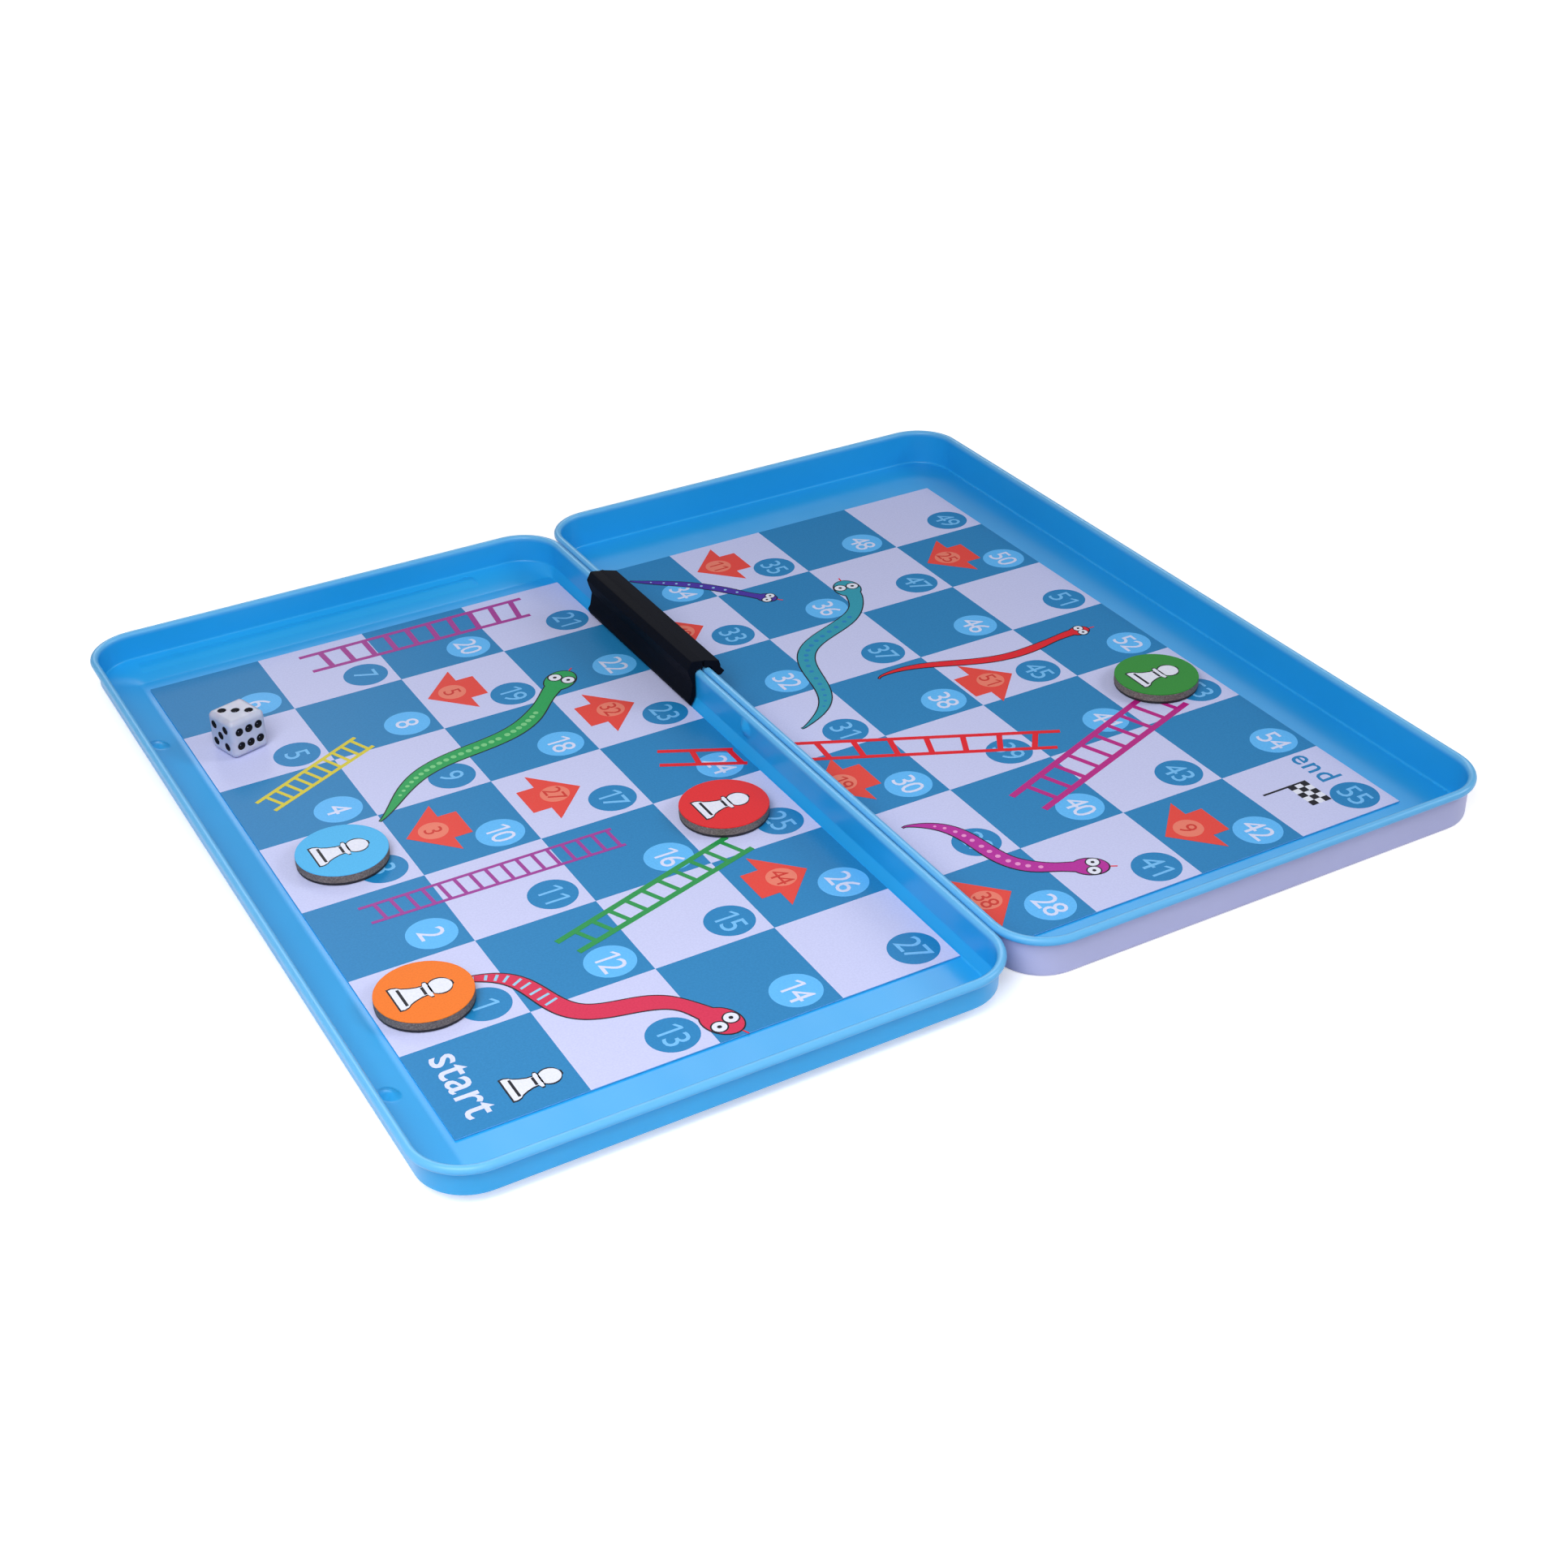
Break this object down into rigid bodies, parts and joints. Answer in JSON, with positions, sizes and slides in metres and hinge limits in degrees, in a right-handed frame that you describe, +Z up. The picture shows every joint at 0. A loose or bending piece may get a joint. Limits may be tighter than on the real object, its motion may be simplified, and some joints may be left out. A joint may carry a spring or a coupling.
{
  "type": "folding magnetic board game",
  "caption": "Folding magnetic board game set: shallow trays with printed squares and ladders, joined by a clip at the fold, with round magnetic tokens and a die.",
  "frame": {"origin": "on the table, under the middle of the fold line between the open trays", "axes": "+X across the fold towards the right tray, +Y along the fold away from the near side, +Z up"},
  "size_m": [0.192, 0.1786, 0.0099],
  "materials": {
    "blue_tin": "satin paint",
    "lilac_tin": "satin paint",
    "printed_sheet": "printed paper on magnetic sheet",
    "black_plastic": "matte",
    "grey_board": "cut board edge",
    "magnet": "matte",
    "blue_label": "printed paper",
    "red_label": "printed paper",
    "orange_label": "printed paper",
    "green_label": "printed paper",
    "white_plastic": "gloss"
  },
  "bodies": {
    "left_half": {"left_tray": "blue_tin", "left_board_sheet": "printed_sheet", "hinge_clip_left": "black_plastic"},
    "right_half": {"right_tray": "lilac_tin", "right_board_sheet": "printed_sheet", "hinge_clip_right": "black_plastic"},
    "blue_token": {"token_blue_magnet": "magnet", "token_blue_disc": "grey_board", "token_blue_label": "blue_label"},
    "red_token": {"token_red_magnet": "magnet", "token_red_disc": "grey_board", "token_red_label": "red_label"},
    "orange_token": {"token_orange_magnet": "magnet", "token_orange_disc": "grey_board", "token_orange_label": "orange_label"},
    "green_token": {"token_green_magnet": "magnet", "token_green_disc": "grey_board", "token_green_label": "green_label"},
    "die_body": {"die": "white_plastic"}
  },
  "joints": [
    {"name": "fold", "type": "hinge", "parent": "left_half", "child": "right_half", "pos_m": [0, 0.0373, 0.0096], "axis": [0, -1, 0], "range_deg": [0, 182]},
    {"name": "blue_token_lift", "type": "slide", "parent": "left_half", "child": "blue_token", "axis": [0, 0, 1], "range_m": [0, 0.004]},
    {"name": "red_token_lift", "type": "slide", "parent": "left_half", "child": "red_token", "axis": [0, 0, 1], "range_m": [0, 0.004]},
    {"name": "orange_token_lift", "type": "slide", "parent": "left_half", "child": "orange_token", "axis": [0, 0, 1], "range_m": [0, 0.004]},
    {"name": "green_token_lift", "type": "slide", "parent": "right_half", "child": "green_token", "axis": [0, 0, 1], "range_m": [0, 0.004]},
    {"name": "die_lift", "type": "slide", "parent": "left_half", "child": "die_body", "axis": [0, 0, 1], "range_m": [0, 0.004]}
  ]
}
